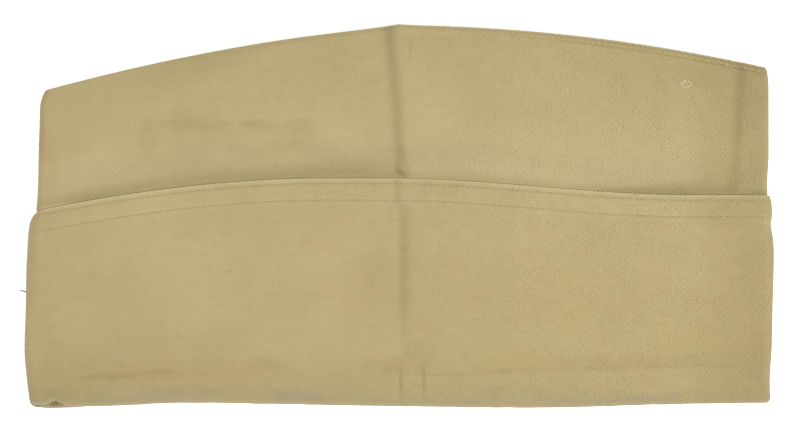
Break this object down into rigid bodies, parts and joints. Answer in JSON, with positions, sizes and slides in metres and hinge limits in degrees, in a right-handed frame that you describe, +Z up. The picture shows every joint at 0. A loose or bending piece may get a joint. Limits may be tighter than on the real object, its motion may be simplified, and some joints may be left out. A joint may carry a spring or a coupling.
{
  "type": "garrison cap",
  "caption": "Soft garrison cap of cotton twill, pressed flat: pointed crown with an inward-folded top gusset and a turned-up curtain all round, lying on its left side.",
  "frame": {"origin": "centre of the cap's bounding box in X and Y, on the surface that the cap lies on", "axes": "+X along the cap from the back fold to the front fold, +Y from the rim to the top edge, +Z up through the flat cap from its left side to its right side"},
  "size_m": [0.2816, 0.144, 0.0151],
  "materials": {
    "khaki_twill": "washed and faded khaki cotton twill, matt, with light stains and pressed creases"
  },
  "bodies": {
    "root": {"crown_side_right": "khaki_twill", "crown_side_left": "khaki_twill", "crown_gusset": "khaki_twill", "curtain_right": "khaki_twill", "curtain_left": "khaki_twill"}
  },
  "joints": []
}
